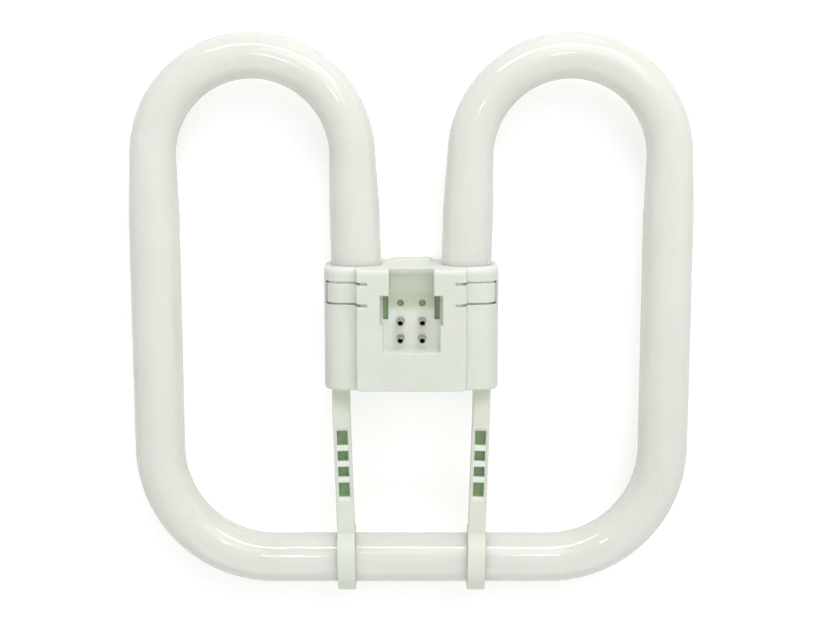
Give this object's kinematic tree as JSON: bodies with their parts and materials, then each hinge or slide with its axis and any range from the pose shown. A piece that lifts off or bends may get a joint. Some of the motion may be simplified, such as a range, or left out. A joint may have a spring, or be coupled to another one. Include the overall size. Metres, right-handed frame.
{
  "type": "square compact fluorescent lamp",
  "caption": "Flat square fluorescent lamp: one bent glass tube whose ends meet in a plastic pin cap, with two plastic stays clipped to the tube's far side.",
  "frame": {"origin": "under the middle of the lamp's outline, on the surface that the back of the cap rests on", "axes": "+X across the lamp, +Y from the stay clips towards the glass loops, +Z out of the cap's pin side, square to the plane of the bent tube"},
  "size_m": [0.205, 0.2064, 0.033],
  "materials": {
    "glass_tube": "gloss white, coated inside",
    "cap_plastic": "satin moulded",
    "stay_plastic": "satin moulded",
    "pin_metal": "bright nickel",
    "wire_metal": "drawn wire"
  },
  "bodies": {
    "root": {"discharge_tube": "glass_tube", "cap_front_shell": "cap_plastic", "cap_rear_shell": "cap_plastic", "stay_left": "stay_plastic", "stay_right": "stay_plastic", "contact_pin_1": "pin_metal", "contact_pin_2": "pin_metal", "contact_pin_3": "pin_metal", "contact_pin_4": "pin_metal", "lead_wire_1": "wire_metal", "lead_wire_2": "wire_metal", "lead_wire_3": "wire_metal", "lead_wire_4": "wire_metal"}
  },
  "joints": []
}
